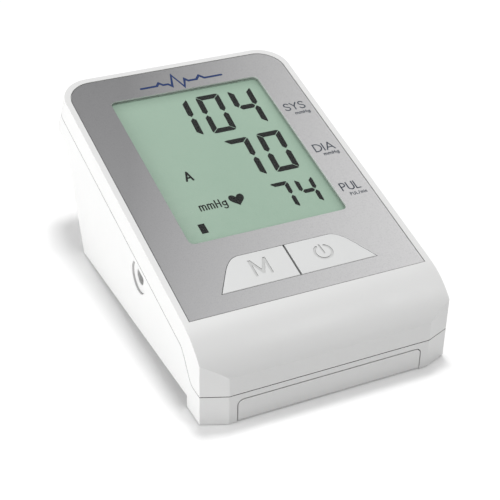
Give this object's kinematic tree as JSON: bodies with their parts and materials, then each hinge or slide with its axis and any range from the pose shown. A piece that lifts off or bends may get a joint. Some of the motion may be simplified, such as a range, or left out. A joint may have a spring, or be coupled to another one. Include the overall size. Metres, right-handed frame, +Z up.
{
  "type": "upper arm blood pressure monitor",
  "caption": "Desk-top blood pressure monitor: sloping face with recessed display and face keys, air socket in the left wall, slide-off battery cover under the front.",
  "frame": {"origin": "middle of the footprint, on the surface the feet stand on", "axes": "+X to the right as seen by the user, +Y from the front wall to the rear lip, +Z up"},
  "size_m": [0.1, 0.1594, 0.067],
  "materials": {
    "case_white": "injection-moulded white ABS with a fine satin texture",
    "plate_silver": "thin silver plate with a fine metallic speckle and satin lacquer",
    "lens_clear": "clear polycarbonate lens",
    "lcd_green": "reflective grey-green liquid crystal display",
    "key_grey": "pale grey moulded keys with engraved signs",
    "moulding_black": "black engineering plastic",
    "board_green": "green solder mask over glass epoxy",
    "motor_steel": "zinc-plated drawn steel can",
    "spring_steel": "nickel-plated spring steel",
    "screw_steel": "plated steel",
    "tube_silicone": "translucent silicone tubing",
    "header_white": "off-white nylon header",
    "rubber_grey": "dark grey elastomer",
    "cell_wrap": "printed sleeve over a steel can",
    "wire_red": "red PVC insulation",
    "wire_black": "black PVC insulation"
  },
  "bodies": {
    "housing": {"upper_case": "case_white", "lower_case": "case_white", "battery_tray": "case_white", "air_jack": "case_white", "face_plate": "plate_silver", "display_window": "lens_clear", "lcd_glass": "lcd_green", "lcd_holder": "moulding_black", "memory_switch": "moulding_black", "power_switch": "moulding_black", "pump_head": "moulding_black", "valve_body": "moulding_black", "pressure_sensor": "moulding_black", "air_manifold": "moulding_black", "main_board": "board_green", "pump_motor": "motor_steel", "contact_spring_1": "spring_steel", "contact_spring_2": "spring_steel", "contact_spring_3": "spring_steel", "contact_spring_4": "spring_steel", "contact_link_left": "spring_steel", "contact_link_right": "spring_steel", "contact_link_rear": "spring_steel", "contact_tab_left": "spring_steel", "contact_tab_right": "spring_steel", "board_screw_1": "screw_steel", "board_screw_2": "screw_steel", "board_screw_3": "screw_steel", "board_screw_4": "screw_steel", "case_screw_1": "screw_steel", "case_screw_2": "screw_steel", "case_screw_3": "screw_steel", "case_screw_4": "screw_steel", "jack_tube": "tube_silicone", "pump_tube": "tube_silicone", "valve_tube": "tube_silicone", "sensor_tube": "tube_silicone", "motor_header": "header_white", "zebra_strip": "rubber_grey", "pump_cradle": "rubber_grey", "head_cradle": "rubber_grey", "rubber_foot_1": "rubber_grey", "rubber_foot_2": "rubber_grey", "rubber_foot_3": "rubber_grey", "rubber_foot_4": "rubber_grey", "battery_cell_1": "cell_wrap", "battery_cell_2": "cell_wrap", "battery_cell_3": "cell_wrap", "battery_cell_4": "cell_wrap", "motor_lead_red": "wire_red", "motor_lead_black": "wire_black"},
    "memory_key": {"memory_button": "key_grey", "memory_plunger": "moulding_black"},
    "power_key": {"power_button": "key_grey", "power_plunger": "moulding_black"},
    "cover": {"battery_cover": "case_white"},
    "motor_rotor": {"motor_shaft": "screw_steel"},
    "valve_core": {"valve_plunger": "screw_steel"}
  },
  "joints": [
    {"name": "memory_press", "type": "slide", "parent": "housing", "child": "memory_key", "axis": [0, 0.2412, -0.9705], "range_m": [0, 0.0006], "stiffness_N_per_m": 600},
    {"name": "power_press", "type": "slide", "parent": "housing", "child": "power_key", "axis": [0, 0.2412, -0.9705], "range_m": [0, 0.0006], "stiffness_N_per_m": 600},
    {"name": "cover_slide", "type": "slide", "parent": "housing", "child": "cover", "axis": [0, -0.9991, 0.0435], "range_m": [0, 0.07]},
    {"name": "motor_spin", "type": "hinge", "parent": "housing", "child": "motor_rotor", "pos_m": [-0.011, 0.01234, 0.019], "axis": [1, 0, 0], "continuous": true},
    {"name": "valve_slide", "type": "slide", "parent": "housing", "child": "valve_core", "axis": [-1, 0, 0], "range_m": [0, 0.0012], "stiffness_N_per_m": 150}
  ]
}
